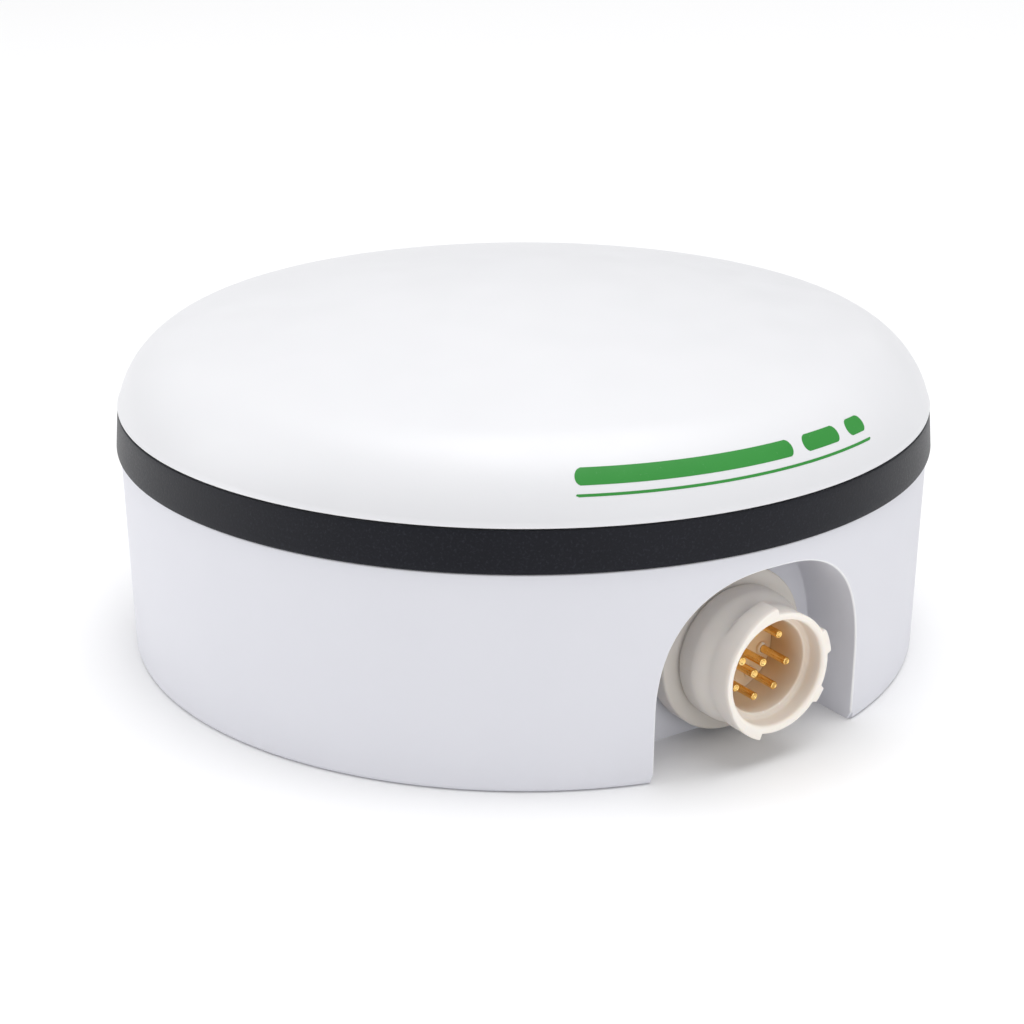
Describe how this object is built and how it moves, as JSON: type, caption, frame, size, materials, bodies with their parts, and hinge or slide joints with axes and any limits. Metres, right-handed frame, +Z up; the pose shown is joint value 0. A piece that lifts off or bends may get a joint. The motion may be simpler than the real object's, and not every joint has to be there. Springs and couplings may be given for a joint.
{
  "type": "gnss receiver",
  "caption": "Round roof-mount satellite positioning receiver: white radome, dark trim band and a white base with an arched bay for its cable receptacle.",
  "frame": {"origin": "on the turning axis of the dome, on the plane that the base stands on", "axes": "+Z up through the dome's crown, the cable receptacle faces -Y"},
  "size_m": [0.155, 0.1557, 0.068],
  "materials": {
    "white_plastic": "satin moulded white plastic with a fine grain",
    "base_plastic": "semi-matte moulded white plastic",
    "dark_plastic": "charcoal moulded plastic, fine texture",
    "ivory_nylon": "natural nylon, slightly waxy",
    "black_rubber": "matt black rubber",
    "gold_plate": "gold-plated contact",
    "brass": "turned brass",
    "steel": "zinc-plated or tinned steel",
    "aluminium": "plain aluminium",
    "magnet_nickel": "nickel-plated magnet",
    "circuit_board": "green solder mask",
    "patch_ceramic": "fired ceramic",
    "chip_black": "moulded black epoxy",
    "wire_sleeve": "matt black sleeve"
  },
  "bodies": {
    "root": {"amplifier_board": "circuit_board", "amplifier_shield": "steel", "base_housing": "base_plastic", "board_header": "chip_black", "board_spacer_1": "brass", "board_spacer_2": "brass", "board_spacer_3": "brass", "board_spacer_4": "brass", "capacitor_1": "aluminium", "capacitor_2": "aluminium", "case_screw_1": "steel", "case_screw_2": "steel", "case_screw_3": "steel", "case_screw_4": "steel", "case_screw_5": "steel", "case_screw_6": "steel", "coax_lead": "wire_sleeve", "connector_gasket": "black_rubber", "connector_insert": "ivory_nylon", "connector_nut": "ivory_nylon", "connector_shell": "ivory_nylon", "contact_pin_01": "gold_plate", "contact_pin_02": "gold_plate", "contact_pin_03": "gold_plate", "contact_pin_04": "gold_plate", "contact_pin_05": "gold_plate", "contact_pin_06": "gold_plate", "contact_pin_07": "gold_plate", "contact_pin_08": "gold_plate", "contact_pin_09": "gold_plate", "contact_pin_10": "gold_plate", "feed_pin": "steel", "ground_plate": "aluminium", "harness_lead": "wire_sleeve", "harness_plug": "chip_black", "lower_patch": "patch_ceramic", "magnet_1": "magnet_nickel", "magnet_2": "magnet_nickel", "magnet_3": "magnet_nickel", "main_board": "circuit_board", "mount_insert_1": "brass", "mount_insert_2": "brass", "mount_insert_3": "brass", "mount_insert_4": "brass", "plate_screw_1": "steel", "plate_screw_2": "steel", "plate_screw_3": "steel", "plate_screw_4": "steel", "power_inductor": "chip_black", "processor_chip": "chip_black", "radome": "white_plastic", "radome_gasket": "black_rubber", "receiver_shield": "steel", "trim_band": "dark_plastic", "upper_patch": "patch_ceramic", "vent_plug": "black_rubber"}
  },
  "joints": []
}
